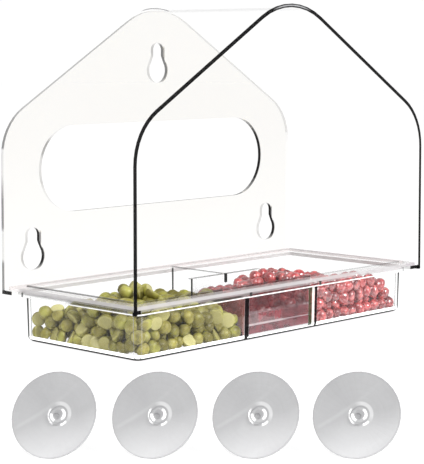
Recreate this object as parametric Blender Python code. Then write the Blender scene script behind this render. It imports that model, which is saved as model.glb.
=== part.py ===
"""Window bird feeder: a clear gable hood, a feed tray that slides into it, four suction cups.

Lengths are in metres and +Z is up. The open front faces -Y and the window side faces +Y.
The origin is the centre of the tray's underside, which is the lowest face of the feeder.
"""

import math

import bmesh
import bpy

# Fits
GAP = 0.0003                    # between pieces that touch
OVERRUN = 0.004                 # how far a cutter reaches past what it cuts
SEAT_SHARE = 0.5                # share of a wall that a joined plate reaches into

# Hood, bent from one sheet
SHEET = 0.0025
HOOD_WIDTH = 0.300
HOOD_DEPTH = 0.1325
EAVE_HEIGHT = 0.1163            # lip underside to the line where wall and roof planes meet
PEAK_HEIGHT = 0.2071            # lip underside to the line where the roof planes meet
EAVE_RADIUS = 0.041
RIDGE_RADIUS = 0.060
LIP_SETBACK = 0.0030            # hood's front edge to the side lips

# Back panel, with a lip along its foot
VIEW_SLOT_WIDTH = 0.2274
VIEW_SLOT_HEIGHT = 0.0606
VIEW_SLOT_RISE = 0.0824         # lip underside to the middle of the slot
KEYHOLE_RADIUS = 0.0093
KEYHOLE_SLOT_WIDTH = 0.0104
KEYHOLE_HEIGHT = 0.0294
KEYHOLE_NECK_RISE = 0.0105      # round part's centre to the foot of the straight slot
KEYHOLE_TAPER_ANGLE = math.radians(35)
KEYHOLE_SIDE_INSET = 0.0288     # hood's side to the lower keyhole's middle
LOWER_KEYHOLE_RISE = 0.0233     # lip underside to the round part's centre
UPPER_KEYHOLE_DROP = 0.0567     # where the roof planes meet, down to the round part's centre

# Tray, one clear moulding
SIDE_CLEARANCE = 0.0016         # flange to hood wall
FRONT_RECESS = 0.0017           # hood's front edge to flange
REAR_CLEARANCE = 0.0027         # flange to back panel
FLANGE_WIDTH = 0.0076           # beyond the tray's wall
FLANGE_THICKNESS = 0.0024
FLANGE_CORNER_RADIUS = 0.001
COLLAR_RISE = 0.0009            # rim above the flange
SHOULDER_STEP = 0.0025          # beyond the tray's wall
SHOULDER_HEIGHT = 0.0044
TRAY_DROP = 0.0322              # lip underside to tray underside
TRAY_WALL = 0.0023
TRAY_FLOOR = 0.0025
TRAY_DRAFT = 0.0006             # how far each wall leans in towards its foot
TRAY_CORNER_RADIUS = 0.0034
TRAY_FOOT_RADIUS = 0.004
TRAY_BED_RADIUS = 0.0018        # inside, between wall and floor
LIP_SIDE_CLEARANCE = 0.0007     # tray shoulder to lip

# Dividers
DIVIDER = 0.0020
MIDDLE_BOX_WIDTH = 0.0704       # between the middles of its two side dividers
MIDDLE_BOX_DEPTH = 0.0512       # front wall's inner face to the middle of the cross wall

# Suction cups
CUP_COUNT = 4
CUP_RADIUS = 0.0220
CUP_HOLLOW = 0.0045             # depth of the hollow behind the rim
CUP_PAD_RADIUS = 0.0046         # round pad in the hollow's middle
CUP_PAD_HEIGHT = 0.0009
CUP_PAD_SLOPE = 0.0009          # how far its side leans in
CUP_DIMPLE_RADIUS = 0.0019      # in the pad's middle
CUP_DIMPLE_DEPTH = 0.0007
CUP_DIMPLE_SLOPE = 0.0006
CUP_RIM_THICKNESS = 0.0008
CUP_DISC_THICKNESS = 0.0026     # at the middle
CUP_BOSS_RADIUS = 0.0066        # foot of the neck
CUP_BOSS_HEIGHT = 0.0022
CUP_LENGTH = 0.0265             # rim to the back of the head
CUP_HEAD_THICKNESS = 0.0046
HEAD_CLEARANCE = 0.0005         # head in the keyhole's round part
NECK_CLEARANCE = 0.0007         # neck in the keyhole's slot
CUP_ROW_X = -0.2724             # middle of the row on the floor
CUP_ROW_Y = -0.2420
CUP_PITCH = 0.0496
CUP_ROW_ANGLE = math.radians(-46.7)
CUP_HEADING = math.radians(-64.0)   # turn of each hollow from facing the front

# Facets
ARC_STEP = math.radians(7.5)        # on the hood's wide bends and the panel's holes
FINE_ARC_STEP = math.radians(15)    # on the tray's corners
HEAD_ARC_STEP = math.radians(30)    # round the edge of a cup's head
TURN_STEPS = 36
DISC_STEPS = 6                      # stations across each face of a cup's disc
SMOOTH_ANGLE = math.radians(32)
MERGE_DISTANCE = 0.00003            # joins the points that a turned profile has on its axis

# Places that follow from the sizes
LIP_UNDER = TRAY_DROP
LIP_TOP = LIP_UNDER + SHEET
FLANGE_UNDER = LIP_TOP + GAP
FLANGE_TOP = FLANGE_UNDER + FLANGE_THICKNESS
RIM_TOP = FLANGE_TOP + COLLAR_RISE
SHOULDER_UNDER = FLANGE_UNDER - SHOULDER_HEIGHT
FLANGE_HALF_X = HOOD_WIDTH / 2 - SHEET - SIDE_CLEARANCE
FLANGE_HALF_Y = (HOOD_DEPTH - SHEET - FRONT_RECESS - REAR_CLEARANCE) / 2
KEYHOLE_SIDE_X = HOOD_WIDTH / 2 - KEYHOLE_SIDE_INSET
TRAY_HALF_X = FLANGE_HALF_X - FLANGE_WIDTH
TRAY_HALF_Y = FLANGE_HALF_Y - FLANGE_WIDTH
HOOD_FRONT = -FLANGE_HALF_Y - FRONT_RECESS
HOOD_BACK = HOOD_FRONT + HOOD_DEPTH
PANEL_FRONT = HOOD_BACK - SHEET
SIDE_LIP_EDGE = TRAY_HALF_X + SHOULDER_STEP + LIP_SIDE_CLEARANCE
BACK_LIP_EDGE = TRAY_HALF_Y + SHOULDER_STEP + LIP_SIDE_CLEARANCE
ROOF_PITCH = math.atan2(PEAK_HEIGHT - EAVE_HEIGHT, HOOD_WIDTH / 2)


def clear_scene():
    """Remove every object that the scene starts with."""
    for item in list(bpy.data.objects):
        bpy.data.objects.remove(item, do_unlink=True)


def make_material(name, colour, roughness, transmission=0.0, ior=1.49):
    """A Principled material with one colour, one roughness and no metal."""
    material = bpy.data.materials.new(name)
    material.use_nodes = True
    shader = material.node_tree.nodes["Principled BSDF"]
    shader.inputs["Base Color"].default_value = (*colour, 1.0)
    shader.inputs["Roughness"].default_value = roughness
    shader.inputs["Metallic"].default_value = 0.0
    shader.inputs["Transmission Weight"].default_value = transmission
    shader.inputs["IOR"].default_value = ior
    return material


def hood_acrylic():
    return make_material("clear_acrylic_sheet", (0.96, 0.97, 0.97), 0.03, transmission=1.0)


def panel_acrylic():
    return make_material("clear_acrylic_panel", (0.95, 0.96, 0.96), 0.03, transmission=1.0)


def tray_styrene():
    return make_material("clear_moulded_styrene", (0.92, 0.93, 0.95), 0.05, transmission=1.0, ior=1.57)


def cup_vinyl():
    return make_material("grey_translucent_vinyl", (0.62, 0.62, 0.63), 0.28, transmission=0.35, ior=1.53)


def new_object(name, bm, material):
    """Turn a bmesh into a named object with smooth round faces and sharp corners."""
    bmesh.ops.recalc_face_normals(bm, faces=bm.faces[:])
    mesh = bpy.data.meshes.new(name)
    bm.to_mesh(mesh)
    bm.free()
    mesh.shade_smooth()
    mesh.set_sharp_from_angle(angle=SMOOTH_ANGLE)
    item = bpy.data.objects.new(name, mesh)
    bpy.context.scene.collection.objects.link(item)
    if material is not None:
        mesh.materials.append(material)
    return item


def new_cutter(name, bm):
    """A guide solid that other pieces are cut or joined with."""
    item = new_object(name, bm, None)
    item.hide_render = True
    item.display_type = "WIRE"
    return item


def add_boolean(target, tool, operation):
    """Cut, join or intersect the target with a guide solid."""
    step = target.modifiers.new(operation.lower() + "_" + tool.name, "BOOLEAN")
    step.operation = operation
    step.solver = "EXACT"
    step.object = tool


def arc(centre_x, centre_z, radius, start, end, step_angle=ARC_STEP):
    """Points along an arc, both ends included."""
    steps = max(2, round(abs(end - start) / step_angle))
    angles = [start + (end - start) * step / steps for step in range(steps + 1)]
    return [(centre_x + radius * math.cos(angle), centre_z + radius * math.sin(angle))
            for angle in angles]


def mirrored(points):
    """The same points on the other side of the middle, in the opposite order."""
    return [(-x, z) for x, z in reversed(points)]


def extrude_outline(points, near, far, along="Y"):
    """A solid with an outline seen along one level axis, pushed from near to far on that axis."""
    bm = bmesh.new()
    if along == "X":
        ring = [bm.verts.new((near, side, z)) for side, z in points]
        push = (far - near, 0, 0)
    else:
        ring = [bm.verts.new((side, near, z)) for side, z in points]
        push = (0, far - near, 0)
    pushed = bmesh.ops.extrude_face_region(bm, geom=[bm.faces.new(ring)])
    moved = [part for part in pushed["geom"] if isinstance(part, bmesh.types.BMVert)]
    bmesh.ops.translate(bm, vec=push, verts=moved)
    return bm


def box_mesh(low, high):
    """A rectangular solid between two corners."""
    bm = bmesh.new()
    bmesh.ops.create_cube(bm, size=1.0)
    for vert in bm.verts:
        vert.co = [low[i] if vert.co[i] < 0 else high[i] for i in range(3)]
    return bm


def gable_side(inset):
    """Right half of the gable's outline above the lip, set in from the sheet's outer face."""
    half = HOOD_WIDTH / 2
    eave_radius = EAVE_RADIUS - inset
    ridge_radius = RIDGE_RADIUS - inset
    wall_tangent = EAVE_RADIUS * math.tan((math.pi / 2 - ROOF_PITCH) / 2)
    eave_z = LIP_UNDER + EAVE_HEIGHT - wall_tangent
    ridge_z = LIP_UNDER + PEAK_HEIGHT - RIDGE_RADIUS / math.cos(ROOF_PITCH)
    eave = arc(half - EAVE_RADIUS, eave_z, eave_radius, 0, math.pi / 2 - ROOF_PITCH)
    ridge = arc(0, ridge_z, ridge_radius, math.pi / 2 - ROOF_PITCH, math.pi / 2)
    return eave + ridge


def hood_outline():
    """Cross-section of the bent sheet: two walls, rounded eaves and a rounded ridge."""
    half = HOOD_WIDTH / 2
    outer = [(half, LIP_UNDER)] + gable_side(0)
    inner = gable_side(SHEET)[::-1] + [(half - SHEET, LIP_UNDER)]
    return outer + mirrored(outer)[1:] + mirrored(inner) + inner[1:]


def make_gable_hood():
    """One sheet bent into walls and a gable roof, with a lip bonded inside the foot of each wall."""
    hood = new_object("gable_hood", extrude_outline(hood_outline(), HOOD_FRONT, HOOD_BACK), hood_acrylic())
    near = HOOD_FRONT + LIP_SETBACK
    far = BACK_LIP_EDGE - GAP
    seat = HOOD_WIDTH / 2 - SHEET * SEAT_SHARE
    for name, low, high in (("left_lip", -seat, -SIDE_LIP_EDGE), ("right_lip", SIDE_LIP_EDGE, seat)):
        lip = new_cutter(name, box_mesh((low, near, LIP_UNDER), (high, far, LIP_TOP)))
        add_boolean(hood, lip, "UNION")
    return hood


def panel_section():
    """Side view of the back panel: a flat sheet with a lip along the inside of its foot."""
    top = LIP_UNDER + PEAK_HEIGHT
    return [(BACK_LIP_EDGE, LIP_UNDER), (HOOD_BACK, LIP_UNDER), (HOOD_BACK, top), (PANEL_FRONT, top),
            (PANEL_FRONT, LIP_TOP), (BACK_LIP_EDGE, LIP_TOP)]


def view_slot_outline():
    """A long slot with round ends through the middle of the panel."""
    radius = VIEW_SLOT_HEIGHT / 2
    middle = LIP_UNDER + VIEW_SLOT_RISE
    end = arc(VIEW_SLOT_WIDTH / 2 - radius, middle, radius, -math.pi / 2, math.pi / 2)
    return end + mirrored(end)


def keyhole_outline(centre_x, centre_z):
    """A round hole with a narrower slot above it, drawn about the round part's centre."""
    slot = KEYHOLE_SLOT_WIDTH / 2
    top = KEYHOLE_HEIGHT - KEYHOLE_RADIUS - slot
    round_side = arc(0, 0, KEYHOLE_RADIUS, -math.pi / 2, KEYHOLE_TAPER_ANGLE)
    slot_top = arc(0, top, slot, 0, math.pi / 2)
    side = round_side + [(slot, KEYHOLE_NECK_RISE)] + slot_top
    whole = side + mirrored(side)[1:-1]
    return [(centre_x + x, centre_z + z) for x, z in whole]


def make_back_panel():
    """Flat sheet inside the hood's back edge, with the view slot and three keyholes."""
    inner_half = HOOD_WIDTH / 2 - SHEET - GAP
    slab = extrude_outline(panel_section(), -inner_half, inner_half, along="X")
    panel = new_object("back_panel", slab, panel_acrylic())

    side = gable_side(SHEET + GAP)
    gable = [(inner_half, LIP_UNDER - OVERRUN)] + side + mirrored(side)[1:] + [(-inner_half, LIP_UNDER - OVERRUN)]
    near = BACK_LIP_EDGE - OVERRUN
    far = HOOD_BACK + OVERRUN
    add_boolean(panel, new_cutter("panel_outline", extrude_outline(gable, near, far)), "INTERSECT")

    holes = {"view_slot": view_slot_outline(),
             "upper_keyhole": keyhole_outline(0, LIP_UNDER + PEAK_HEIGHT - UPPER_KEYHOLE_DROP),
             "left_keyhole": keyhole_outline(-KEYHOLE_SIDE_X, LIP_UNDER + LOWER_KEYHOLE_RISE),
             "right_keyhole": keyhole_outline(KEYHOLE_SIDE_X, LIP_UNDER + LOWER_KEYHOLE_RISE)}
    for name, outline in holes.items():
        hole = new_cutter(name, extrude_outline(outline, PANEL_FRONT - OVERRUN, far))
        add_boolean(panel, hole, "DIFFERENCE")
    return panel


def rounded_ring(bm, half_x, half_y, radius, z):
    """A loop of vertices round a rectangle with round corners."""
    ring = []
    for turn, (side_x, side_y) in enumerate(((1, 1), (-1, 1), (-1, -1), (1, -1))):
        start = turn * math.pi / 2
        corner = arc(side_x * (half_x - radius), side_y * (half_y - radius), radius,
                     start, start + math.pi / 2, FINE_ARC_STEP)
        ring += [bm.verts.new((x, y, z)) for x, y in corner]
    return ring


def tray_profile():
    """The tray's wall as (inset from the wall's outer face, height, corner radius) stations.

    They run from the edge of the underside up the outside, over the rim and down to the bed.
    """
    foot_arc = arc(0, TRAY_FOOT_RADIUS, TRAY_FOOT_RADIUS, -math.pi / 2, 0, FINE_ARC_STEP)
    foot = [(TRAY_DRAFT + TRAY_FOOT_RADIUS - x, z, TRAY_CORNER_RADIUS) for x, z in foot_arc]
    outside = [(0, SHOULDER_UNDER, TRAY_CORNER_RADIUS),
               (-SHOULDER_STEP, SHOULDER_UNDER, TRAY_CORNER_RADIUS),
               (-SHOULDER_STEP, FLANGE_UNDER, TRAY_CORNER_RADIUS),
               (-FLANGE_WIDTH, FLANGE_UNDER, FLANGE_CORNER_RADIUS),
               (-FLANGE_WIDTH, FLANGE_TOP, FLANGE_CORNER_RADIUS),
               (0, FLANGE_TOP, TRAY_CORNER_RADIUS),
               (0, RIM_TOP, TRAY_CORNER_RADIUS)]
    inner_radius = TRAY_CORNER_RADIUS - TRAY_WALL
    bed_z = TRAY_FLOOR + TRAY_BED_RADIUS
    bed_arc = arc(0, bed_z, TRAY_BED_RADIUS, 0, -math.pi / 2, FINE_ARC_STEP)
    bed = [(TRAY_WALL + TRAY_DRAFT + TRAY_BED_RADIUS - x, z, inner_radius) for x, z in bed_arc]
    return foot + outside + [(TRAY_WALL, RIM_TOP, inner_radius)] + bed


def lofted_tray():
    """Rings of the profile joined one to the next, closed by the underside and the bed."""
    bm = bmesh.new()
    rings = [rounded_ring(bm, TRAY_HALF_X - inset, TRAY_HALF_Y - inset, radius, z)
             for inset, z, radius in tray_profile()]
    for lower, upper in zip(rings, rings[1:]):
        for index, vert in enumerate(lower):
            following = (index + 1) % len(lower)
            bm.faces.new((vert, lower[following], upper[following], upper[index]))
    bm.faces.new(reversed(rings[0]))
    bm.faces.new(rings[-1])
    return bm


def make_feed_tray():
    """Tray with three compartments: a middle box at the front and one wing on each side."""
    tray = new_object("feed_tray", lofted_tray(), tray_styrene())
    wall_seat = TRAY_WALL * SEAT_SHARE
    reach_y = TRAY_HALF_Y - TRAY_DRAFT - wall_seat
    bottom = TRAY_FLOOR * SEAT_SHARE
    cross_y = -TRAY_HALF_Y + TRAY_WALL + MIDDLE_BOX_DEPTH
    half = DIVIDER / 2
    side_x = MIDDLE_BOX_WIDTH / 2
    plates = {"cross_wall": ((-side_x - half, cross_y - half), (side_x + half, cross_y + half)),
              "left_divider": ((-side_x - half, -reach_y), (-side_x + half, cross_y)),
              "right_divider": ((side_x - half, -reach_y), (side_x + half, cross_y)),
              "rear_divider": ((-half, cross_y), (half, reach_y))}
    for name, (low, high) in plates.items():
        plate = new_cutter(name, box_mesh((*low, bottom), (*high, RIM_TOP - GAP)))
        add_boolean(tray, plate, "UNION")
    return tray


def cup_head_middle():
    """Distance from the rim back to the widest circle of the head."""
    return CUP_LENGTH - CUP_HEAD_THICKNESS / 2


def hollow_height(radius):
    """Height of the hollow's dished face at a distance from the middle."""
    return -CUP_HOLLOW * (1 - (radius / CUP_RADIUS) ** 2)


def cup_profile():
    """Half section of a cup as (radius, height): rim at height zero, head below it."""
    head_radius = KEYHOLE_RADIUS - HEAD_CLEARANCE
    neck_radius = KEYHOLE_SLOT_WIDTH / 2 - NECK_CLEARANCE
    pad_top = hollow_height(CUP_PAD_RADIUS) + CUP_PAD_HEIGHT
    dimple = pad_top - CUP_DIMPLE_DEPTH
    hollow = [(0, dimple), (CUP_DIMPLE_RADIUS - CUP_DIMPLE_SLOPE, dimple), (CUP_DIMPLE_RADIUS, pad_top),
              (CUP_PAD_RADIUS - CUP_PAD_SLOPE, pad_top)]
    for step in range(DISC_STEPS):
        radius = CUP_PAD_RADIUS + (CUP_RADIUS - CUP_PAD_RADIUS) * step / DISC_STEPS
        hollow.append((radius, hollow_height(radius)))
    edge = [(CUP_RADIUS, 0), (CUP_RADIUS, -CUP_RIM_THICKNESS)]
    disc_back = -CUP_HOLLOW - CUP_DISC_THICKNESS
    rise = -CUP_RIM_THICKNESS - disc_back
    back = []
    for step in range(1, DISC_STEPS):
        radius = CUP_RADIUS + (CUP_BOSS_RADIUS - CUP_RADIUS) * step / DISC_STEPS
        back.append((radius, disc_back + rise * (radius / CUP_RADIUS) ** 2))
    boss_foot = disc_back + rise * (CUP_BOSS_RADIUS / CUP_RADIUS) ** 2
    head_top = -CUP_LENGTH + CUP_HEAD_THICKNESS
    neck = [(CUP_BOSS_RADIUS, boss_foot), (CUP_BOSS_RADIUS, disc_back - CUP_BOSS_HEIGHT),
            (neck_radius, disc_back - CUP_BOSS_HEIGHT - (CUP_BOSS_RADIUS - neck_radius)),
            (neck_radius, head_top)]
    round_over = CUP_HEAD_THICKNESS / 2
    head = arc(head_radius - round_over, -cup_head_middle(), round_over,
               math.pi / 2, -math.pi / 2, HEAD_ARC_STEP)
    return hollow + edge + back + neck + head + [(0, -CUP_LENGTH)]


def turned_solid(profile):
    """A closed solid of revolution about Z."""
    bm = bmesh.new()
    verts = [bm.verts.new((radius, 0, z)) for radius, z in profile]
    edges = [bm.edges.new(pair) for pair in zip(verts, verts[1:])]
    bmesh.ops.spin(bm, geom=verts + edges, axis=(0, 0, 1), cent=(0, 0, 0), angle=2 * math.pi,
                   steps=TURN_STEPS, use_merge=True, use_duplicate=False)
    bmesh.ops.remove_doubles(bm, verts=bm.verts[:], dist=MERGE_DISTANCE)
    return bm


def make_suction_cups():
    """A row of cups on the floor, each resting on its rim and the edge of its head."""
    material = cup_vinyl()
    head_radius = KEYHOLE_RADIUS - HEAD_CLEARANCE
    tilt = math.atan2(CUP_RADIUS - head_radius, cup_head_middle())
    height = CUP_RADIUS * math.cos(tilt)
    cups = []
    for index in range(CUP_COUNT):
        along = (index - (CUP_COUNT - 1) / 2) * CUP_PITCH
        cup = new_object(f"suction_cup_{index + 1}", turned_solid(cup_profile()), material)
        cup.rotation_euler = (math.pi / 2 - tilt, 0, CUP_HEADING)
        cup.location = (CUP_ROW_X + along * math.cos(CUP_ROW_ANGLE),
                        CUP_ROW_Y + along * math.sin(CUP_ROW_ANGLE), height)
        cups.append(cup)
    return cups


def main():
    clear_scene()
    make_gable_hood()
    make_back_panel()
    make_feed_tray()
    make_suction_cups()


main()
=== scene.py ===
import math

import bpy
import numpy as np
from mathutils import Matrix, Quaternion, Vector


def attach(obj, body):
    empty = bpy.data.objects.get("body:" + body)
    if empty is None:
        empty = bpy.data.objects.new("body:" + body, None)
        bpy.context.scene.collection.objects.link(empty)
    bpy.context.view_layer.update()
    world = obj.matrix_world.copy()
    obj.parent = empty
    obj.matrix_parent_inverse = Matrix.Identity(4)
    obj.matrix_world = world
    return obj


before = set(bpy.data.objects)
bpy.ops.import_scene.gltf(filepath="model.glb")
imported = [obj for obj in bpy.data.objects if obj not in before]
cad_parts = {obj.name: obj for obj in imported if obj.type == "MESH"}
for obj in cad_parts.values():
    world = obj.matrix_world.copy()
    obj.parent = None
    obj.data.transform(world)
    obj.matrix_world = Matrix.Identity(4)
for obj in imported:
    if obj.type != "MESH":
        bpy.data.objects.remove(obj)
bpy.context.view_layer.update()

# Places in the part's frame, in metres
HOOD_FRONT = -0.0645
HOOD_BACK = 0.0680
PANEL_HALF_X = 0.1472
LIP_TOP = 0.0347
LIP_FRONT = -0.0615
KEYHOLES = ((0.0, 0.1826, 0.0064), (-0.1212, 0.0555, 0.0066), (0.1212, 0.0555, 0.0062))
SLOT_END = (0.0834, 0.1146)
ROOF_SLOPE = 0.6053
ROOF_RISE = 0.2330
RIDGE_CENTRE = 0.1692
TRAY_FLOOR = 0.0025
FLANGE_UNDER = 0.0350
FLANGE_TOP = 0.0374
RIM_TOP = 0.0383
TRAY_HALF_X = 0.1383
TRAY_HALF_Y = 0.0552
INNER_X = 0.1357
INNER_Y = 0.0526
DIVIDER_X = 0.0352
CROSS_Y = -0.0017
HALF_DIVIDER = 0.0010
HALF_BLEND = 0.010              # either side of the middle, where left turns into right
MILLIMETRES = 1000              # in a metre

# Suction cups: the rim circle's middle of each, and how it is turned
CUP_NAMES = ["suction_cup_1", "suction_cup_2", "suction_cup_3", "suction_cup_4"]
CUP_RADIUS = 0.0220
CUP_ROW = (-0.2724, -0.2420)
CUP_PITCH = 0.0496
CUP_ROW_ANGLE = math.radians(-46.7)
CUP_HEADING = math.radians(-64.0)
CUP_TILT = math.atan2(0.0132, 0.0242)

# Camera, fitted to the photograph
IMAGE_LONG_SIDE = 464
CAMERA_PLACE = (-0.8332, -0.7772, 0.1988)
CAMERA_TURN = (math.radians(85.85), 0.0, math.radians(-46.67))
FOCAL_PIXELS = 1600.3
SENSOR = 36.0
SHIFT_PIXELS = (-2.1, -67.7)

# Lights: name, place, what it looks at, width and power
LIGHTS = (("key", (-1.1, -0.5, 1.3), (0.0, 0.0, 0.05), 0.9, 21.0),
          ("fill", (0.7, -1.3, 0.8), (0.0, 0.0, 0.05), 0.9, 3.0),
          ("spark", (0.3, -1.6, 1.0), (0.0, 0.0, 0.03), 0.25, 26.0))
WORLD_TO_LIGHT = 0.55
WORLD_TO_CAMERA = 1.02
FLOOR_REACH = 6.0


def srgb(red, green, blue):
    """A colour named by its eight-bit screen values, as linear light."""
    parts = []
    for value in (red, green, blue):
        share = value / 255
        parts.append(share / 12.92 if share <= 0.04045 else ((share + 0.055) / 1.055) ** 2.4)
    return (*parts, 1.0)


def dark(grey):
    """Opacity at which a black film turns white into this eight-bit grey."""
    return 1.0 - srgb(grey, grey, grey)[0]


class Tree:
    """Short calls for building one material's nodes."""

    def __init__(self, name):
        self.material = bpy.data.materials.new(name)
        self.material.use_nodes = True
        self.nodes = self.material.node_tree.nodes
        self.links = self.material.node_tree.links
        self.shader = self.nodes["Principled BSDF"]

    def add(self, kind, **settings):
        node = self.nodes.new(kind)
        for key, value in settings.items():
            setattr(node, key, value)
        return node

    def plug(self, value, socket):
        if isinstance(value, bpy.types.NodeSocket):
            self.links.new(value, socket)
        else:
            socket.default_value = value

    def math(self, operation, first, second=0.0, third=None, clamp=False):
        node = self.add("ShaderNodeMath", operation=operation, use_clamp=clamp)
        self.plug(first, node.inputs[0])
        self.plug(second, node.inputs[1])
        if third is not None:
            self.plug(third, node.inputs[2])
        return node.outputs[0]

    def ramp(self, value, low, high, start=0.0, end=1.0):
        """value from low to high becomes start to end, and stays there beyond."""
        node = self.add("ShaderNodeMapRange", clamp=True)
        self.plug(value, node.inputs["Value"])
        for key, number in (("From Min", low), ("From Max", high), ("To Min", start), ("To Max", end)):
            node.inputs[key].default_value = number
        return node.outputs["Result"]

    def mix(self, share, first, second):
        node = self.add("ShaderNodeMix", data_type="RGBA")
        self.plug(share, node.inputs["Factor"])
        self.plug(first, node.inputs["A"])
        self.plug(second, node.inputs["B"])
        return node.outputs["Result"]

    def blend(self, share, first, second):
        node = self.add("ShaderNodeMix", data_type="FLOAT")
        self.plug(share, node.inputs["Factor"])
        self.plug(first, node.inputs["A"])
        self.plug(second, node.inputs["B"])
        return node.outputs["Result"]

    def layers(self, colour, alpha, *over):
        """Colour and opacity after each (mask, colour, opacity) is laid over what came before."""
        for mask, tint, opacity in over:
            colour = self.mix(mask, colour, tint)
            alpha = self.blend(mask, alpha, opacity)
        return colour, alpha

    def within(self, value, low, high, soft=0.0002):
        """1 from low to high and 0 beyond, with a soft edge outside."""
        return self.product(self.ramp(value, low - soft, low), self.ramp(value, high + soft, high))

    def most(self, *values):
        total = values[0]
        for value in values[1:]:
            total = self.math("MAXIMUM", total, value)
        return total

    def product(self, *values):
        total = values[0]
        for value in values[1:]:
            total = self.math("MULTIPLY", total, value)
        return total

    def inverse(self, value):
        return self.math("SUBTRACT", 1.0, value)

    def length(self, first, second):
        """Length of the way that runs first along one axis and second along the other."""
        return self.math("SQRT", self.math("MULTIPLY_ADD", first, first, self.product(second, second)))

    def place(self):
        """X, Y and Z on the piece itself, the same three of its flat faces' normal, unsigned,
        and 1 where a face is seen from inside the piece."""
        where = self.add("ShaderNodeSeparateXYZ")
        self.links.new(self.add("ShaderNodeTexCoord").outputs["Object"], where.inputs[0])
        shape = self.add("ShaderNodeNewGeometry")
        facing = self.add("ShaderNodeVectorMath", operation="ABSOLUTE")
        self.links.new(shape.outputs["True Normal"], facing.inputs[0])
        normal = self.add("ShaderNodeSeparateXYZ")
        self.links.new(facing.outputs[0], normal.inputs[0])
        return where.outputs, normal.outputs, shape.outputs["Backfacing"]

    def noise(self, scale, detail=3.0, roughness=0.5):
        node = self.add("ShaderNodeTexNoise")
        self.links.new(self.add("ShaderNodeTexCoord").outputs["Object"], node.inputs["Vector"])
        node.inputs["Scale"].default_value = scale
        node.inputs["Detail"].default_value = detail
        node.inputs["Roughness"].default_value = roughness
        return node.outputs["Fac"]

    def bump(self, height, strength, distance):
        node = self.add("ShaderNodeBump")
        node.inputs["Strength"].default_value = strength
        node.inputs["Distance"].default_value = distance
        self.links.new(height, node.inputs["Height"])
        self.links.new(node.outputs["Normal"], self.shader.inputs["Normal"])

    def facing(self):
        """0 where a face looks at the eye and 1 where it turns away."""
        return self.add("ShaderNodeLayerWeight").outputs["Facing"]

    def set(self, **values):
        names = {"colour": "Base Color", "rough": "Roughness", "ior": "IOR", "alpha": "Alpha",
                 "gloss": "Specular IOR Level", "coat": "Coat Weight",
                 "coat_rough": "Coat Roughness", "coat_ior": "Coat IOR",
                 "glow": "Emission Color", "glow_strength": "Emission Strength"}
        for key, value in values.items():
            self.plug(value, self.shader.inputs[names[key]])


def dress(node_name, material):
    """Gives a CAD node its material in every slot."""
    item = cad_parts[node_name]
    if not item.material_slots:
        item.data.materials.append(material)
    for slot in item.material_slots:
        slot.material = material


CLEAR = srgb(250, 249, 246)
BLACK = srgb(9, 9, 10)
WHITE = srgb(255, 255, 255)


def hood_material():
    """Clear bent sheet: a faint film that is painted greyer where it is seen edge-on, and cut edges
    painted black from the front for the light they turn away.
    """
    tree = Tree("clear_bent_acrylic")
    (x, y, z), (nx, ny, _), back = tree.place()
    side = tree.math("ABSOLUTE", x)
    left = tree.ramp(x, HALF_BLEND, -HALF_BLEND)
    right = tree.ramp(x, -HALF_BLEND, HALF_BLEND)
    cut = tree.ramp(ny, 0.85, 0.95)
    # Painted shade: the cut faces below are drawn black or grey, for the light that the clear sheet's
    # thickness turns away.
    front_edge = tree.product(cut, tree.ramp(y, LIP_FRONT + 0.0006, LIP_FRONT + 0.0002))
    rear_edge = tree.product(cut, tree.ramp(y, HOOD_BACK - 0.0008, HOOD_BACK - 0.0004), tree.inverse(back))
    long_edge = tree.product(tree.ramp(nx, 0.85, 0.95), tree.ramp(side, 0.1420, 0.1418))
    left_rim = tree.product(left, tree.ramp(y, HOOD_FRONT + 0.0007, HOOD_FRONT + 0.0005))
    right_rim = tree.product(right, tree.ramp(y, HOOD_FRONT + 0.0003, HOOD_FRONT + 0.0001))
    foot = tree.ramp(z, LIP_TOP + 0.0003, LIP_TOP + 0.0001)
    foot = tree.product(foot, tree.ramp(nx, 0.85, 0.95), tree.ramp(side, 0.1465, 0.1470))
    foot_left = tree.product(foot, tree.ramp(y, HOOD_FRONT + 0.0018, HOOD_FRONT + 0.0016), left)
    foot_right = tree.product(foot, tree.ramp(y, LIP_FRONT + 0.0002, LIP_FRONT), right)
    rise = tree.math("SUBTRACT", z, RIDGE_CENTRE)
    round_ridge = tree.length(x, rise)
    # Painted light: a paler grey band in the black cut edge where it rounds the ridge.
    ridge_edge_grey = tree.product(cut, tree.within(round_ridge, 0.0584, 0.0590, 0.0003),
                        tree.ramp(side, 0.020, 0.012))
    grain = tree.ramp(tree.noise(9.0), 0.35, 0.75)
    # Painted shade: the film turns grey and denser where the sheet is seen edge-on.
    edge_on_grey = tree.ramp(tree.facing(), 0.80, 0.97)
    high = tree.ramp(z, 0.2000, 0.2050)
    top = tree.product(tree.ramp(side, 0.036, 0.030), high)
    film = tree.math("MULTIPLY_ADD", edge_on_grey, tree.blend(top, 0.20, 0.0),
                     tree.math("MULTIPLY_ADD", grain, 0.006, 0.004))
    # Painted shade: a faint dark band along the top of the rounded ridge.
    crest = tree.product(tree.within(round_ridge, 0.0570, 0.0579), tree.ramp(side, 0.0160, 0.0130),
                         high, tree.inverse(cut))
    solid = tree.most(front_edge, left_rim, right_rim, foot_left, foot_right)
    colour, alpha = tree.layers(tree.mix(edge_on_grey, CLEAR, srgb(90, 92, 94)), film,
                                (crest, BLACK, 0.085),
                                (rear_edge, BLACK, dark(150)),
                                (long_edge, BLACK, dark(215)),
                                (solid, BLACK, 0.985),
                                (ridge_edge_grey, srgb(120, 120, 122), 0.86))
    tree.set(colour=colour, alpha=alpha, rough=0.06, ior=1.49,
             gloss=tree.ramp(tree.most(solid, rear_edge, crest), 0.0, 1.0, 0.3, 0.02))
    return tree.material


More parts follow.
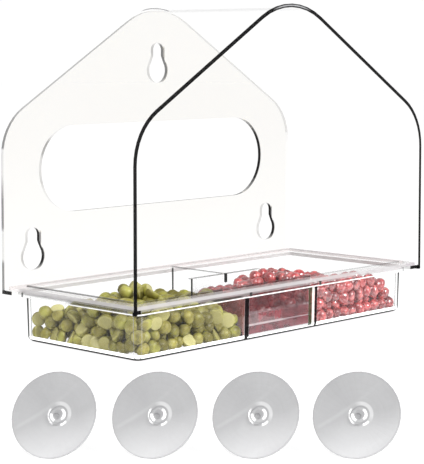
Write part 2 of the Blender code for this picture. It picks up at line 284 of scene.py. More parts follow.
def panel_material():
    """Clear flat sheet with a very faint warm tone, cut edges painted darker as they turn sideways, and
    painted reflections by its holes.
    """
    tree = Tree("clear_flat_acrylic")
    (x, _, z), (nx, ny, nz), back = tree.place()
    side = tree.math("ABSOLUTE", x)
    # Painted shade: the cut edges of the holes, the slot and the ends are drawn dark, darker as they turn
    # sideways; on their far side noise breaks this painted dark into patches.
    above_lip = tree.ramp(z, LIP_TOP + 0.0003, LIP_TOP + 0.0006)
    end = tree.ramp(side, PANEL_HALF_X - 0.0006, PANEL_HALF_X - 0.0003)
    cut = tree.product(tree.ramp(ny, 0.75, 0.6), tree.most(above_lip, end))
    roof = tree.ramp(tree.math("MULTIPLY_ADD", side, ROOF_SLOPE, z), ROOF_RISE, ROOF_RISE + 0.0006)
    eave = tree.ramp(side, PANEL_HALF_X - 0.013, PANEL_HALF_X - 0.011)
    eave = tree.product(eave, tree.ramp(z, 0.120, 0.124))
    lip_end = tree.product(end, tree.ramp(z, LIP_TOP + 0.0003, LIP_TOP + 0.0001),
                           tree.ramp(x, HALF_BLEND, -HALF_BLEND))
    patchy_edge_shade = tree.ramp(tree.noise(55.0, 2.0), 0.42, 0.60, 0.55, 1.0)
    high = tree.ramp(z, 0.168, 0.176, 1.0, 0.80)
    slot = tree.within(z, 0.080, 0.150)
    hole_near = tree.math("MULTIPLY", tree.ramp(nx, 0.10, 0.85, 0.22, 0.985), high)
    sill = tree.product(tree.ramp(nz, 0.80, 0.95), tree.within(z, 0.0830, 0.0860))
    hole_near = tree.most(hole_near, tree.math("MULTIPLY", sill, 0.75))
    spot = tree.product(slot, tree.within(z, 0.126, 0.134, 0.004))
    thin = tree.blend(slot, 0.55, tree.ramp(spot, 0.0, 1.0, 0.45, 1.0))
    hole_far = tree.product(tree.ramp(nx, 0.15, 0.95, 0.05, 0.80), patchy_edge_shade, thin)
    hole = tree.blend(back, hole_near, hole_far)
    rim = tree.blend(back, tree.ramp(nx, 0.30, 0.90, dark(212), dark(152)), dark(228))
    fade = tree.product(end, tree.within(z, 0.0560, 0.0745, 0.003))
    upright_end = tree.product(end, tree.ramp(z, 0.130, 0.122))
    rim = tree.product(rim, tree.inverse(tree.product(fade, 0.70)),
                       tree.inverse(tree.product(upright_end, tree.ramp(x, -HALF_BLEND, HALF_BLEND))),
                       tree.inverse(tree.product(end, tree.ramp(z, 0.096, 0.114, 0.0, 0.70))))

    # Painted reflections: thin dark rings and strips next to the keyholes and the slot's end, for their
    # edges seen in the sheet.
    flat = tree.product(tree.ramp(ny, 0.9, 0.95), tree.inverse(back))
    beside = []
    for centre_x, centre_z, reach in KEYHOLES:
        dx = tree.math("SUBTRACT", x, centre_x)
        dz = tree.math("SUBTRACT", z, centre_z)
        away = tree.length(dx, dz)
        ring = tree.product(tree.ramp(away, 0.0100, 0.0097), tree.ramp(away, 0.0088, 0.0090),
                            tree.ramp(dx, 0.0030, 0.0060), tree.ramp(dz, 0.0062, 0.0055))
        strip = tree.product(tree.within(dx, 0.0050, reach, 0.0003),
                             tree.within(dz, 0.0092, 0.0160, 0.0020))
        beside.append(tree.most(ring, strip))
    dx = tree.math("SUBTRACT", x, SLOT_END[0])
    dz = tree.math("SUBTRACT", z, SLOT_END[1])
    away = tree.length(dx, dz)
    beside.append(tree.product(tree.ramp(away, 0.0308, 0.0306), tree.ramp(away, 0.0296, 0.0299),
                               tree.ramp(dx, 0.008, 0.016)))
    beside = tree.product(tree.most(*beside), flat, high)

    haze = tree.ramp(tree.noise(7.0), 0.3, 0.75, 0.050, 0.062)
    colour, alpha = tree.layers(srgb(152, 136, 92), haze,
                                (beside, BLACK, 0.72),
                                (cut, BLACK, hole),
                                (tree.product(cut, tree.most(roof, end, eave)), BLACK, rim),
                                (lip_end, BLACK, 0.98))
    tree.set(colour=colour, alpha=alpha, rough=0.06, ior=1.49,
             gloss=tree.ramp(cut, 0.0, 1.0, 0.3, 0.02))
    return tree.material


def tray_material():
    """Clear moulding, with painted light and shade: a pale rim, a white highlight at the shoulder foot,
    dividers painted darker lower down for the shaded food behind them, dark lines where it turns away,
    and on the empty middle box the red and brown of the beans that would show through it."""
    tree = Tree("clear_moulded_styrene")
    (x, y, z), (_, _, nz), back = tree.place()
    near = tree.inverse(back)
    upright = tree.ramp(nz, 0.5, 0.3)
    level = tree.ramp(nz, 0.8, 0.95)
    side = tree.math("ABSOLUTE", x)
    depth = tree.math("ABSOLUTE", y)
    front = tree.ramp(y, -0.040, -0.045)
    beyond = tree.most(tree.ramp(side, TRAY_HALF_X, TRAY_HALF_X + 0.0005),
                       tree.ramp(depth, TRAY_HALF_Y, TRAY_HALF_Y + 0.0005))
    skin = tree.most(tree.ramp(side, 0.1370, 0.1374), tree.ramp(depth, 0.0540, 0.0544))
    inside = tree.product(tree.ramp(side, 0.1355, 0.1350), tree.ramp(depth, 0.0527, 0.0523))
    turned = tree.facing()

    # Painted light and shade on the clear rim: the flange's and shoulder's pale and grey tones and the
    # dark collar edges stand for light bent in the plastic, and differ with the side a face is seen from.
    flange_side = tree.product(upright, tree.within(z, FLANGE_UNDER, FLANGE_TOP), beyond)
    end_block = tree.product(tree.ramp(x, 0.1335, 0.1350), tree.ramp(y, -0.050, -0.0535))
    far = tree.product(tree.most(tree.ramp(x, 0.1370, 0.1385), tree.ramp(y, 0.0500, 0.0535)),
                       tree.inverse(end_block))
    shoulder_side = tree.product(upright, tree.within(z, 0.0326, FLANGE_UNDER), beyond)
    flange_flat = tree.product(level, tree.within(z, FLANGE_UNDER - 0.0001, FLANGE_TOP + 0.0001), beyond)
    above_flange = tree.ramp(z, FLANGE_TOP + 0.0001, FLANGE_TOP + 0.0002)
    collar = tree.product(tree.ramp(nz, 0.99, 0.95), above_flange, near, skin)
    brink = tree.product(tree.ramp(z, RIM_TOP - 0.0001, RIM_TOP), near, tree.most(
        tree.ramp(x, -INNER_X + 0.0002, -INNER_X), tree.ramp(y, -INNER_Y + 0.0002, -INNER_Y)))
    far_collar = tree.product(upright, above_flange, back, skin)
    # Painted highlight: a white band at the shoulder's foot.
    bright = tree.product(tree.within(z, 0.0298, 0.0309), skin, near)

    # Painted shade: a dark outline along the tray's foot. Above it a painted white band that also glows,
    # painted light for the light coming through the clear foot.
    foot_line = tree.product(tree.ramp(z, 0.0021, 0.0018), tree.ramp(nz, 0.997, 0.993), near)
    box_front = tree.product(tree.ramp(side, 0.0345, 0.0341), front)
    foot_top = tree.blend(box_front, 0.0042, 0.0027)
    foot_glow = tree.product(tree.ramp(tree.math("SUBTRACT", foot_top, z), -0.0002, 0.0),
                             tree.ramp(z, 0.0014, 0.0016), tree.ramp(nz, 0.95, 0.90), near,
                             tree.most(tree.ramp(side, 0.1345, 0.1350), tree.ramp(depth, 0.0514, 0.0519)))

    def corner(half_x, half_y):
        return tree.product(tree.ramp(side, half_x - 0.0042, half_x - 0.0036),
                            tree.ramp(depth, half_y - 0.0042, half_y - 0.0036))

    # Painted shade: dark lines where the rounded corners and the shoulder's corners turn away from the
    # eye.
    edge_on = tree.product(tree.ramp(turned, 0.26, 0.35), tree.ramp(nz, 0.995, 0.98), near)
    left = tree.ramp(x, HALF_BLEND, -HALF_BLEND)
    corner_line = tree.product(corner(0.1380, 0.0549), tree.ramp(z, 0.0305, 0.0300), edge_on)
    corner_line = tree.product(corner_line, tree.inverse(
        tree.product(tree.ramp(x, -HALF_BLEND, HALF_BLEND), tree.ramp(y, -HALF_BLEND, HALF_BLEND))))
    shoulder_line = tree.product(corner(0.1408, 0.0577), tree.within(z, 0.0308, 0.0348), edge_on)

    def stripe(low, high, soft=0.0003):
        return tree.within(x, low, high, soft)

    # Painted on the front wall by the middle box: black lines for the dividers' ends, a warm brown and a
    # dark green strip standing for the food that the clear walls show, and a white strip of painted light.
    front_skin = tree.product(front, skin, near, upright, tree.within(z, 0.0016, 0.0297))
    left_end = tree.product(front_skin, stripe(-0.0372, -0.0330))
    left_warm = tree.product(front_skin, stripe(-0.0392, -0.0376), tree.ramp(z, 0.0042, 0.0046))
    right_green = tree.product(front_skin, stripe(0.0300, 0.0334))
    right_light = tree.product(front_skin, stripe(0.0340, 0.0362))
    right_end = tree.product(front_skin, stripe(0.0368, 0.0392))
    foot_ends = tree.product(front, near, tree.ramp(nz, 0.97, 0.93), tree.ramp(depth, 0.0500, 0.0505),
                             tree.within(z, 0.0008, 0.0060),
                             tree.most(stripe(-0.0368, -0.0340), stripe(0.0370, 0.0388)))
    # Painted on the shoulder's front and left: black marks at the middle box's ends, dark olive streaks of
    # painted shade and noisy specks of painted reflection; at the back a black stroke at the rear
    # divider's end.
    shoulder_front = tree.product(front, beyond, near, upright)
    step_marks = tree.product(shoulder_front, tree.within(z, 0.0310, 0.0346),
                              tree.most(stripe(-0.0352, -0.0328), stripe(0.0386, 0.0408)))
    step_shade = tree.product(shoulder_front, tree.within(z, 0.0311, 0.0327),
                              tree.ramp(x, -0.082, -0.070), tree.ramp(x, -0.036, -0.044))
    left_shade = tree.product(tree.ramp(x, -TRAY_HALF_X, -TRAY_HALF_X - 0.0005), near, upright,
                              tree.within(z, 0.0311, 0.0325),
                              tree.ramp(y, 0.012, 0.004), tree.ramp(y, -0.052, -0.040))
    reflection_dots = tree.product(shoulder_front, tree.within(z, 0.0311, 0.0321),
                        tree.within(x, -0.124, -0.084, 0.004),
                        tree.ramp(tree.noise(110.0, 1.0), 0.50, 0.56))
    back_end = tree.product(stripe(0.0006, 0.0013, 0.0002), tree.within(y, 0.0510, 0.0530), upright,
                            tree.within(z, 0.0150, 0.0362, 0.0008))

    def post(post_x, post_y, reach):
        dx = tree.math("SUBTRACT", x, post_x)
        dy = tree.math("SUBTRACT", y, post_y)
        squared = tree.math("MULTIPLY_ADD", dx, dx, tree.product(dy, dy))
        return tree.ramp(squared, (reach * 1.1) ** 2, reach ** 2)

    # Painted shade: dark marks at the dividers' joints.
    posts = tree.product(upright, inside, tree.most(
        tree.product(post(-0.0362, -0.0039, 0.0008), tree.ramp(z, 0.0022, 0.0028)),
        tree.product(post(0.0003, CROSS_Y, 0.0016), tree.ramp(z, 0.0308, 0.0318))))

    plate = HALF_DIVIDER + 0.0001
    cross = tree.product(tree.ramp(side, 0.0366, 0.0362), tree.within(y, CROSS_Y - plate, CROSS_Y + plate))
    sides = tree.product(tree.within(side, DIVIDER_X - plate, DIVIDER_X + plate),
                         tree.ramp(y, 0.0, -0.0005))
    rear = tree.product(tree.ramp(side, 0.0013, 0.0011), tree.ramp(y, -0.0005, 0.0))
    plates = tree.product(tree.most(cross, sides), upright, inside)
    # Painted on the clear dividers: dark brown lower down and a brown stroke on the left one, painted
    # shade and the food seen through them; dark painted edges along the tops and a pale painted tone on
    # the side dividers' tops.
    divider_seen_shade = tree.product(plates, tree.ramp(z, 0.0315, 0.0255))
    divider_seen_brown = tree.product(tree.within(x, -0.0364, -0.0360), tree.ramp(y, -0.006, -0.016), upright, inside,
                         tree.ramp(z, 0.0315, 0.0290))
    tops = tree.product(tree.ramp(z, 0.0372, 0.0374), inside, tree.most(cross, rear))
    side_tops = tree.product(level, tree.ramp(z, 0.0377, 0.0378), inside, sides)
    # Painted on the empty middle box's front wall: dark red and mauve, painted shade and the beans seen
    # through the clear walls, blotched like beans, with a paler band across its lower part.
    box_wall = tree.product(front, upright, tree.ramp(side, 0.0343, 0.0341),
                            tree.ramp(depth, 0.0534, 0.0532), tree.ramp(depth, 0.0518, 0.0520))
    box_seen_low_beans = tree.product(box_wall, tree.ramp(z, 0.0110, 0.0096), tree.ramp(z, 0.0022, 0.0030))
    box_seen_beans = tree.product(box_wall, tree.ramp(z, 0.0198, 0.0170), tree.ramp(z, 0.0102, 0.0106))
    low_line = tree.product(box_wall, tree.within(z, 0.0096, 0.0106, 0.0004), tree.ramp(x, 0.012, 0.002))
    tint = tree.product(box_wall, tree.ramp(z, 0.0160, 0.0200))
    box_seen_dark = tree.product(box_wall, tree.ramp(z, 0.0105, 0.0125),
                        tree.ramp(tree.noise(70.0, 2.0), 0.40, 0.62))
    bean_blotches = tree.ramp(tree.noise(120.0, 4.0, 0.6), 0.36, 0.64)

    streak = tree.ramp(tree.noise(14.0, 4.0), 0.35, 0.7, 0.010, 0.030)
    colour, alpha = tree.layers(
        srgb(236, 236, 240), streak,
        (divider_seen_shade, srgb(70, 34, 32), 0.15),
        (divider_seen_brown, srgb(112, 48, 34), tree.ramp(z, 0.0170, 0.0190, 0.90, 0.50)),
        (tint, srgb(104, 24, 34), 0.42),
        (box_seen_dark, srgb(60, 16, 22), 0.60),
        (box_seen_beans, tree.mix(bean_blotches, srgb(66, 18, 26), srgb(132, 54, 62)), 0.84),
        (box_seen_low_beans, tree.mix(bean_blotches, srgb(54, 12, 22), srgb(116, 46, 56)), 0.94),
        (low_line, srgb(160, 142, 144), 0.85),
        (tops, BLACK, dark(200)),
        (side_tops, srgb(230, 230, 230), 0.30),
        (far_collar, BLACK, dark(236)),
        (flange_flat, tree.mix(far, srgb(196, 191, 190), srgb(222, 218, 218)),
         tree.blend(back, tree.blend(far, 0.45, 0.30), 0.14)),
        (shoulder_side, tree.mix(end_block, srgb(190, 187, 187), srgb(158, 152, 156)),
         tree.blend(back, tree.blend(far, 0.50, 0.12), tree.blend(end_block, 0.80, 0.10))),
        (step_shade, srgb(44, 46, 42), 0.80),
        (tree.most(left_shade, reflection_dots), srgb(52, 54, 34), 0.60),
        (flange_side, tree.mix(end_block, tree.mix(far, srgb(172, 169, 170), srgb(226, 219, 219)),
                               srgb(158, 152, 156)),
         tree.blend(back, tree.blend(far, 0.85, 0.38), tree.blend(end_block, 0.80, 0.14))),
        (bright, WHITE, 0.96),
        (tree.most(collar, brink), BLACK, tree.blend(front, dark(138), dark(205))),
        (foot_glow, WHITE, 0.94),
        (left_warm, srgb(112, 48, 34), 0.75),
        (right_green, srgb(52, 62, 40), 0.80),
        (right_light, srgb(226, 228, 224), 0.75),
        (tree.most(left_end, right_end, foot_ends, step_marks, back_end, posts), BLACK, 0.97),
        (shoulder_line, BLACK, tree.blend(left, dark(190), 0.96)),
        (corner_line, BLACK, dark(56)),
        (foot_line, BLACK, dark(40)))
    lines = tree.most(left_end, right_end, foot_ends, right_green, right_light, corner_line,
                      foot_line)
    gloss = tree.ramp(tree.most(lines, posts), 0.0, 1.0, 0.35, 0.02)
    tree.set(colour=colour, alpha=alpha, rough=0.07, ior=1.57, gloss=gloss,
             glow=WHITE, glow_strength=tree.product(foot_glow, tree.inverse(lines), 0.7))
    return tree.material


def cup_material(name, index):
    """Grey translucent vinyl with painted light: brighter to its lower right, a soft highlight streak,
    rings round its pad.
    """
    tree = Tree(name)
    along = (index - (len(CUP_NAMES) - 1) / 2) * CUP_PITCH
    local = tree.add("ShaderNodeMapping", vector_type="TEXTURE")
    local.inputs["Location"].default_value = (CUP_ROW[0] + along * math.cos(CUP_ROW_ANGLE),
                                              CUP_ROW[1] + along * math.sin(CUP_ROW_ANGLE),
                                              CUP_RADIUS * math.cos(CUP_TILT))
    local.inputs["Rotation"].default_value = (math.pi / 2 - CUP_TILT, 0.0, CUP_HEADING)
    tree.links.new(tree.add("ShaderNodeTexCoord").outputs["Object"], local.inputs["Vector"])
    parts = tree.add("ShaderNodeSeparateXYZ")
    tree.links.new(local.outputs[0], parts.inputs[0])
    across, up, out = parts.outputs

    def distance(centre_x, centre_y):
        dx = tree.math("SUBTRACT", across, centre_x)
        dy = tree.math("SUBTRACT", up, centre_y)
        return tree.length(dx, dy)

    def slant(share_x, share_y):
        return tree.math("MULTIPLY_ADD", across, share_x, tree.product(up, share_y))

    face = tree.ramp(out, -0.0049, -0.0043)
    whole = distance(0.0, 0.0)
    # Painted light and shade: lighter towards the lower right and the top right, darker elsewhere.
    glow = tree.ramp(slant(0.55, -0.83), -0.003, 0.017)
    crown = tree.ramp(slant(0.8, 0.6), -0.002, 0.016, 0.0, 0.40)
    grain = tree.ramp(tree.noise(160.0, 3.0), 0.3, 0.7, -0.03, 0.03)
    tone = tree.math("ADD", tree.most(glow, crown), grain, clamp=True)
    colour = tree.mix(tone, srgb(138, 138, 139), srgb(169, 169, 170))
    # Painted highlight: a faint soft streak across the dish.
    line = tree.math("ABSOLUTE", tree.math("SUBTRACT", slant(-0.656, 0.755), 0.0066))
    line = tree.product(tree.ramp(line, 0.0014, 0.0003), tree.ramp(whole, 0.0212, 0.0195),
                        tree.ramp(slant(0.755, 0.656), 0.014, -0.004, 0.35, 1.0))
    colour = tree.mix(tree.product(line, 0.06), colour, srgb(206, 206, 206))
    colour = tree.mix(tree.ramp(whole, 0.0210, 0.0217, 0.0, 0.3), colour, srgb(124, 124, 126))

    middle = (0.0010, 0.0012)
    knob = distance(*middle)
    right = tree.math("SUBTRACT", across, middle[0])
    above = tree.math("SUBTRACT", up, middle[1])

    def toward(share_x, share_y, wide, full):
        """1 where the way from the knob's middle is close to the one named, 0 beyond."""
        along_way = tree.math("MULTIPLY_ADD", right, share_x, tree.product(above, share_y))
        return tree.ramp(tree.math("DIVIDE", along_way, knob), wide, full)

    # Painted on the pad: white highlights broken into flecks, a paler highlight further out, dark rings,
    # and painted shade in the dimple's middle.
    flecks = tree.ramp(tree.noise(700.0, 2.0), 0.38, 0.55, 0.45, 1.0)
    highlight_arcs = tree.most(
        tree.product(tree.within(knob, 0.0026, 0.0034, 0.0003), toward(0.98, 0.17, 0.40, 0.70)),
        tree.product(tree.within(knob, 0.0032, 0.0042, 0.0003), toward(-0.85, -0.53, 0.80, 0.94)),
        tree.product(tree.within(knob, 0.0050, 0.0058, 0.0003), toward(0.62, -0.78, 0.93, 0.98)),
        tree.product(tree.within(knob, 0.0052, 0.0057, 0.0003), toward(-0.95, -0.30, 0.60, 0.80), 0.8))
    outer = tree.product(tree.within(knob, 0.0050, 0.0064, 0.0005), toward(0.70, 0.70, 0.20, 0.70))
    between = tree.most(tree.within(knob, 0.0041, 0.0046, 0.0003),
                        tree.within(knob, 0.0020, 0.0023, 0.0003))
    dimple_shade = tree.ramp(knob, 0.0019, 0.0016)
    colour = tree.mix(tree.product(between, face, 0.30), colour, srgb(96, 96, 98))
    colour = tree.mix(tree.product(dimple_shade, face, 0.35), colour, srgb(104, 104, 106))
    colour = tree.mix(tree.product(outer, face, 0.30), colour, srgb(214, 214, 214))
    colour = tree.mix(tree.product(highlight_arcs, face, flecks, 0.95), colour, WHITE)
    # A faint glow in the vinyl's own colour: painted light for light passing through it.
    tree.set(colour=colour, rough=0.50, ior=1.5, gloss=0.14, coat=0.02, coat_rough=0.20, alpha=0.97,
             glow=colour, glow_strength=0.35)
    return tree.material


# Food: places and sizes in millimetres

def height_of(points, places):
    """Heap height at each place, blended from listed points (x, y, height)."""
    points = np.array(points)
    away = np.linalg.norm(places[:, None, :2] - points[None, :, :2], axis=2)
    share = 1.0 / (away + 2.0) ** 3
    return (share * points[None, :, 2]).sum(1) / share.sum(1)


def keep_inside(places, rooms, radius):
    """Moves each place into the nearest of the rooms (x low, x high, y low, y high)."""
    best = None
    for x_low, x_high, y_low, y_high in rooms:
        held = places.copy()
        held[:, 0] = held[:, 0].clip(x_low + radius, x_high - radius)
        held[:, 1] = held[:, 1].clip(y_low + radius, y_high - radius)
        away = np.linalg.norm(held - places, axis=1)
        if best is None:
            best, least = held, away
        else:
            nearer = away < least
            best[nearer] = held[nearer]
            least = np.minimum(least, away)
    return best


def settle(points, rooms, radius, wall, extra, seed):
    """Places for round items under a heap's height, pushed apart and settled."""
    random = np.random.default_rng(seed)
    pitch = 2.0 * radius
    layers = []
    for level in range(9):
        for row in range(-16, 17):
            for column in range(-20, 21):
                layers.append(((column + 0.5 * (row % 2) + 0.33 * (level % 3)) * pitch,
                               (row + 0.33 * (level % 3)) * 0.87 * pitch, radius + 0.80 * pitch * level))
    places = np.array(layers) + random.normal(0.0, 0.16 * radius, (len(layers), 3))
    places[:, 2] += TRAY_FLOOR * MILLIMETRES
    in_room = np.zeros(len(places), bool)
    for x_low, x_high, y_low, y_high in rooms:
        in_room |= ((places[:, 0] > x_low + 1) & (places[:, 0] < x_high - 1)
                    & (places[:, 1] > y_low + 1) & (places[:, 1] < y_high - 1))
    places = places[in_room]
    places = places[places[:, 2] + 0.55 * radius < height_of(points, places)]
    places = np.concatenate((places, extra))
    floor = TRAY_FLOOR * MILLIMETRES + 0.86 * radius
    for step in range(SETTLE_STEPS):
        places[:, 2] -= 0.12 * radius * (1.0 - step / SETTLE_STEPS)
        for _ in range(2):
            offset = places[:, None, :] - places[None, :, :]
            length = np.sqrt((offset ** 2).sum(2)) + 1e-9
            np.fill_diagonal(length, 1e3)
            push = np.clip(pitch - length, 0.0, None) / length
            places += 0.32 * (push[:, :, None] * offset).sum(1)
            places = keep_inside(places, rooms, wall)
            places[:, 2] = np.maximum(places[:, 2], floor)
    return places


def fillers(places, rooms, radius, most, seed):
    """Places for small items behind the gaps that the outer ones leave."""
    random = np.random.default_rng(seed)
    away = np.linalg.norm(places[:, None, :] - places[None, :, :], axis=2)
    first, second = np.where(np.triu(away < 2.4 * radius, 1))
    middles = (places[first] + places[second]) / 2
    inward = np.sign(middles[:, :2]) * np.minimum(np.abs(middles[:, :2]), 0.5 * radius)
    middles[:, :2] -= inward
    chosen = random.permutation(len(middles))[:most]
    return keep_inside(middles[chosen], rooms, 0.7 * radius)


def ring_solid(profile, segments):
    """Points and faces of a profile (radius, height) turned about Z, closed at both ends."""
    points = [(0.0, 0.0, profile[0][1])]
    for radius, height in profile[1:-1]:
        for step in range(segments):
            angle = 2 * math.pi * step / segments
            points.append((radius * math.cos(angle), radius * math.sin(angle), height))
    points.append((0.0, 0.0, profile[-1][1]))
    rings = len(profile) - 2
    faces = []
    for step in range(segments):
        following = (step + 1) % segments
        faces.append((0, 1 + step, 1 + following))
        for ring in range(rings - 1):
            low = 1 + ring * segments
            high = low + segments
            faces.append((low + step, high + step, high + following, low + following))
        low = 1 + (rings - 1) * segments
        faces.append((low + step, len(points) - 1, low + following))
    return np.array(points), faces


def split_pea_shape():
    """Half a pea: a dome, a rounded edge and a nearly flat face. Its last rings are the face."""
    profile = [(0.0, 1.0)]
    for degrees in (20, 40, 58, 75, 90):
        angle = math.radians(degrees)
        profile.append((math.sin(angle), math.cos(angle)))
    profile += [(1.0, -0.16), (0.97, -0.27), (0.88, -0.34), (0.60, -0.32), (0.30, -0.30), (0.0, -0.295)]
    points, faces = ring_solid(profile, 15)
    flat = np.clip((-0.24 - points[:, 2]) / 0.06, 0.0, 1.0)
    return points, faces, flat


def whole_pea_shape(seed):
    """A whole pea, a little flattened, with two shallow dents."""
    points, faces = ring_solid([(math.sin(math.pi * step / 9), math.cos(math.pi * step / 9))
                                for step in range(10)], 14)
    random = np.random.default_rng(seed)
    swell = np.ones(len(points))
    for _ in range(2):
        way = random.normal(size=3)
        way /= np.linalg.norm(way)
        swell -= 0.12 * np.exp(-((1 - points @ way) / 0.22) ** 2)
    points = points * swell[:, None] * (0.95, 0.91, 1.06)
    return points, faces, np.clip((1.0 - swell) * 3, 0.0, 0.5)


def bean_shape(seed):
    """A round bean with a few soft dents."""
    random = np.random.default_rng(seed)
    profile = [(math.sin(math.pi * step / 8), math.cos(math.pi * step / 8)) for step in range(9)]
    points, faces = ring_solid(profile, 14)
    points /= np.linalg.norm(points, axis=1)[:, None]
    swell = np.ones(len(points))
    for _ in range(5):
        way = random.normal(size=3)
        way /= np.linalg.norm(way)
        swell -= 0.13 * np.exp(-((1 - points @ way) / 0.16) ** 2)
    points = points * swell[:, None] * (1.06, 0.98, 0.94)
    return points, faces, np.clip((1.0 - swell) * 8, 0.0, 1.0)


def item_turn(place, walls, reach, random):
    """A random turn, or beside a wall one that lays the item's round side along the wall."""
    gaps = (place[0] - walls[0], walls[1] - place[0], place[1] - walls[2], walls[3] - place[1])
    nearest = int(np.argmin(gaps))
    axis = random.normal(size=3)
    axis /= np.linalg.norm(axis)
    if gaps[nearest] < reach:
        outward = ((-1, 0, 0), (1, 0, 0), (0, -1, 0), (0, 1, 0))[nearest]
        axis = np.array(outward) * random.choice((-1.0, 1.0)) + 0.75 * axis
    spin = Quaternion((0, 0, 1), random.uniform(0, 2 * math.pi))
    turn = Vector((0, 0, 1)).rotation_difference(Vector(axis)) @ spin
    return np.array(turn.to_matrix())


def make_heap(name, places, small, size, shapes, material, seed):
    """One piece that holds every item of a heap, with each one's tone kept on its points."""
    random = np.random.default_rng(seed)
    walls = [reach * MILLIMETRES for reach in (-INNER_X, INNER_X, -INNER_Y, INNER_Y)]
    points, faces, tones, marks = [], [], [], []
    start = 0
    scales = [1.0] * len(places) + [SMALL_SHARE] * len(small)
    for place, scale in zip(np.concatenate((places, small)), scales):
        base, base_faces, mark = shapes[random.integers(len(shapes))]
        stretch = np.array(size) * scale * random.normal(1.0, 0.04, 3) * random.uniform(0.90, 1.08)
        placed = (base * stretch) @ item_turn(place, walls, 1.3 * size[0], random).T + place
        placed[:, 0] = placed[:, 0].clip(walls[0] - 0.1, walls[1] + 0.1)
        placed[:, 1] = placed[:, 1].clip(walls[2] - 0.1, walls[3] + 0.1)
        placed[:, 2] = placed[:, 2].clip(TRAY_FLOOR * MILLIMETRES + 0.05, None)
        points.append(placed / MILLIMETRES)
        faces += [tuple(corner + start for corner in face) for face in base_faces]
        tones.append(np.full(len(base), random.random()))
        marks.append(mark)
        start += len(base)
    mesh = bpy.data.meshes.new(name)
    mesh.from_pydata(np.concatenate(points).tolist(), [], faces)
    mesh.shade_smooth()
    for key, values in (("tone", tones), ("mark", marks)):
        layer = mesh.attributes.new(key, "FLOAT", "POINT")
        layer.data.foreach_set("value", np.concatenate(values).astype(np.float32))
    mesh.materials.append(material)
    heap = bpy.data.objects.new(name, mesh)
    bpy.context.scene.collection.objects.link(heap)
    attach(heap, "tray")
    return heap


def attribute(tree, key):
    """A value that each point of a heap carries."""
    node = tree.add("ShaderNodeAttribute", attribute_name=key)
    return node.outputs["Fac"]


def pea_material():
    """Dry olive peas: matt, mottled, with a paler flat face."""
    tree = Tree("split_pea")
    tone = attribute(tree, "tone")
    mark = attribute(tree, "mark")
    mottle = tree.ramp(tree.noise(260.0, 4.0, 0.6), 0.34, 0.66)
    skin = tree.mix(tone, srgb(94, 89, 30), srgb(157, 149, 70))
    skin = tree.mix(tree.product(mottle, 0.50), skin, srgb(92, 84, 40))
    skin = tree.mix(tree.ramp(tree.noise(90.0, 2.0), 0.5, 0.66, 0.0, 0.6), skin, srgb(176, 176, 84))
    face = tree.mix(tone, srgb(147, 141, 78), srgb(193, 188, 130))
    face = tree.mix(tree.product(mottle, 0.25), face, srgb(150, 142, 88))
    tree.set(colour=tree.mix(mark, skin, face), rough=0.36, gloss=0.45, ior=1.45)
    tree.bump(tree.noise(700.0, 4.0), 0.45, 0.0003)
    return tree.material


def bean_material():
    """Glossy pink-red beans with fine wrinkles, pale spots that are partly their own and partly painted
    sheen, and dents painted darker as shade.
    """
    tree = Tree("red_bean")
    tone = attribute(tree, "tone")
    mark = attribute(tree, "mark")
    skin = tree.mix(tone, srgb(104, 10, 18), srgb(174, 40, 46))
    # Pale pink spots: partly the skin's own mottling, partly painted sheen.
    pale_spot_sheen = tree.ramp(tree.noise(210.0, 3.0, 0.6), 0.47, 0.60)
    skin = tree.mix(tree.product(pale_spot_sheen, 0.62), skin, srgb(238, 116, 112))
    # Darker along thin noise lines, and painted shade in the dents.
    dark_lines = tree.ramp(tree.noise(330.0, 2.0, 0.5), 0.42, 0.32)
    skin = tree.mix(tree.most(tree.product(dark_lines, 0.75), tree.product(mark, 0.6)), skin, srgb(108, 20, 30))
    tree.set(colour=skin, rough=0.30, ior=1.5, coat=1.0, coat_rough=0.06, coat_ior=1.8)
    tree.bump(tree.noise(420.0, 3.0, 0.6), 0.5, 0.0005)
    return tree.material


LEFT_HEAP = ((-132, 55, 18), (-132, 35, 24), (-132, 15, 28), (-132, -20, 31), (-120, -49, 31),
             (-75, -49, 31), (-60, -49, 26), (-50, -49, 23), (-38, -49, 20), (-95, 0, 41),
             (-90, -13, 42.5), (-80, -17, 38), (-70, -14, 35), (-60, -11, 31), (-115, 0, 34),
             (-40, 0, 27), (-40, -25, 22), (-100, 35, 25), (-60, 35, 26), (-20, 20, 24),
             (-5, 45, 14), (-20, 50, 16), (-100, 50, 17), (-60, 50, 18))
RIGHT_HEAP = ((50, -49, 32), (84, -49, 33), (110, -49, 33), (118, -49, 30), (127, -49, 25),
              (134, -49, 16), (134, 0, 16), (134, 50, 10), (110, 0, 25), (60, 6, 36), (70, 2, 37),
              (79, 0, 31), (88, -4, 29), (40, -25, 30), (20, 2, 20), (30, 1, 24), (5, 5, 14),
              (5, 20, 12), (15, 50, 10), (40, 40, 22), (95, -14, 29), (80, 40, 22), (110, 45, 14),
              (60, -25, 32))
CORNER_PEAS = ((-131.5, 48.5, 7.5), (-131.5, 47.5, 15.5))
CORNER_BEANS = ((131, -48, 7.5), (128, -48, 15.5))
PEA_RADIUS = 4.5
BEAN_RADIUS = 4.5
PEA_SIZE = (5.3, 5.3, 4.2)      # half the size of each item as it is drawn
BEAN_SIZE = (5.0, 5.0, 5.0)
PEA_WALL_SHARE = 0.88           # of the radius, from an item's middle to a wall
BEAN_WALL_SHARE = 1.06
SMALL_SHARE = 0.72              # a small item beside a full one
SMALL_COUNT = 220
SETTLE_STEPS = 70


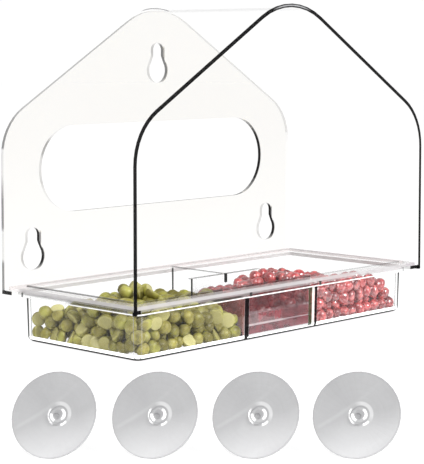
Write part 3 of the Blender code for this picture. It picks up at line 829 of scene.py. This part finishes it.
def make_food():
    """The two heaps that show in the tray's wings. The middle compartment is empty."""
    left, right = -INNER_X * MILLIMETRES, INNER_X * MILLIMETRES
    back = INNER_Y * MILLIMETRES
    side = (DIVIDER_X + HALF_DIVIDER) * MILLIMETRES
    cross = (CROSS_Y + HALF_DIVIDER) * MILLIMETRES
    middle = HALF_DIVIDER * MILLIMETRES
    left_rooms = ((left, -side, -back, back), (left, -middle, cross, back))
    right_rooms = ((side, right, -back, back), (middle, right, cross, back))
    peas = settle(LEFT_HEAP, left_rooms, PEA_RADIUS, PEA_WALL_SHARE * PEA_RADIUS, CORNER_PEAS, 11)
    beans = settle(RIGHT_HEAP, right_rooms, BEAN_RADIUS, BEAN_WALL_SHARE * BEAN_RADIUS, CORNER_BEANS, 23)
    pea_shapes = [split_pea_shape(), whole_pea_shape(1), split_pea_shape(), whole_pea_shape(2)]
    more_peas = fillers(peas, left_rooms, PEA_RADIUS, SMALL_COUNT, 31)
    more_beans = fillers(beans, right_rooms, BEAN_RADIUS, SMALL_COUNT, 32)
    bean_shapes = [bean_shape(seed) for seed in range(6)]
    make_heap("split_peas", peas, more_peas, PEA_SIZE, pea_shapes, pea_material(), 5)
    make_heap("red_beans", beans, more_beans, BEAN_SIZE, bean_shapes, bean_material(), 8)


def make_floor():
    """A plain white floor, brighter to the camera than as a source of light."""
    mesh = bpy.data.meshes.new("floor")
    mesh.from_pydata([(FLOOR_REACH * across, FLOOR_REACH * along, 0)
                      for across, along in ((-1, -1), (1, -1), (1, 1), (-1, 1))], [], [(0, 1, 2, 3)])
    floor = bpy.data.objects.new("floor", mesh)
    floor.location.z = -0.0002
    bpy.context.scene.collection.objects.link(floor)
    tree = Tree("floor_white")
    grain = tree.ramp(tree.noise(30.0), 0.3, 0.7, 0.0, 1.0)
    seen = tree.add("ShaderNodeLightPath").outputs["Is Camera Ray"]
    white = tree.mix(grain, srgb(228, 228, 228), srgb(232, 232, 232))
    tree.set(colour=tree.mix(seen, white, srgb(105, 105, 105)), rough=0.9, gloss=0.1,
             glow=WHITE, glow_strength=tree.ramp(seen, 0.0, 1.0, 0.22, 0.92))
    mesh.materials.append(tree.material)


def add_area(name, place, aim, size, power):
    """A round soft light that looks at a point."""
    light = bpy.data.lights.new(name, "AREA")
    light.shape = "DISK"
    light.size = size
    light.energy = power
    item = bpy.data.objects.new(name, light)
    item.location = place
    item.rotation_euler = (Vector(aim) - Vector(place)).to_track_quat("-Z", "Y").to_euler()
    bpy.context.scene.collection.objects.link(item)


def make_stage():
    """White surroundings, soft lights and the photograph's camera."""
    scene = bpy.context.scene
    world = bpy.data.worlds.new("studio")
    scene.world = world
    world.use_nodes = True
    nodes = world.node_tree.nodes
    links = world.node_tree.links
    background = nodes["Background"]
    background.inputs["Color"].default_value = (1.0, 1.0, 1.0, 1.0)
    path = nodes.new("ShaderNodeLightPath")
    strength = nodes.new("ShaderNodeMapRange")
    strength.inputs["To Min"].default_value = WORLD_TO_LIGHT
    strength.inputs["To Max"].default_value = WORLD_TO_CAMERA
    links.new(path.outputs["Is Camera Ray"], strength.inputs["Value"])
    links.new(strength.outputs["Result"], background.inputs["Strength"])

    for light in LIGHTS:
        add_area(*light)

    camera = bpy.data.cameras.new("camera")
    camera.sensor_width = SENSOR
    camera.lens = FOCAL_PIXELS * SENSOR / IMAGE_LONG_SIDE
    camera.shift_x = SHIFT_PIXELS[0] / IMAGE_LONG_SIDE
    camera.shift_y = SHIFT_PIXELS[1] / IMAGE_LONG_SIDE
    camera.clip_start = 0.01
    item = bpy.data.objects.new("camera", camera)
    item.location = CAMERA_PLACE
    item.rotation_euler = CAMERA_TURN
    scene.collection.objects.link(item)
    scene.camera = item
    scene.view_settings.view_transform = "Standard"


dress("gable_hood", hood_material())
dress("back_panel", panel_material())
dress("feed_tray", tray_material())
for index, cup_name in enumerate(CUP_NAMES):
    dress(cup_name, cup_material("vinyl_" + str(index + 1), index))
make_food()
make_floor()
make_stage()
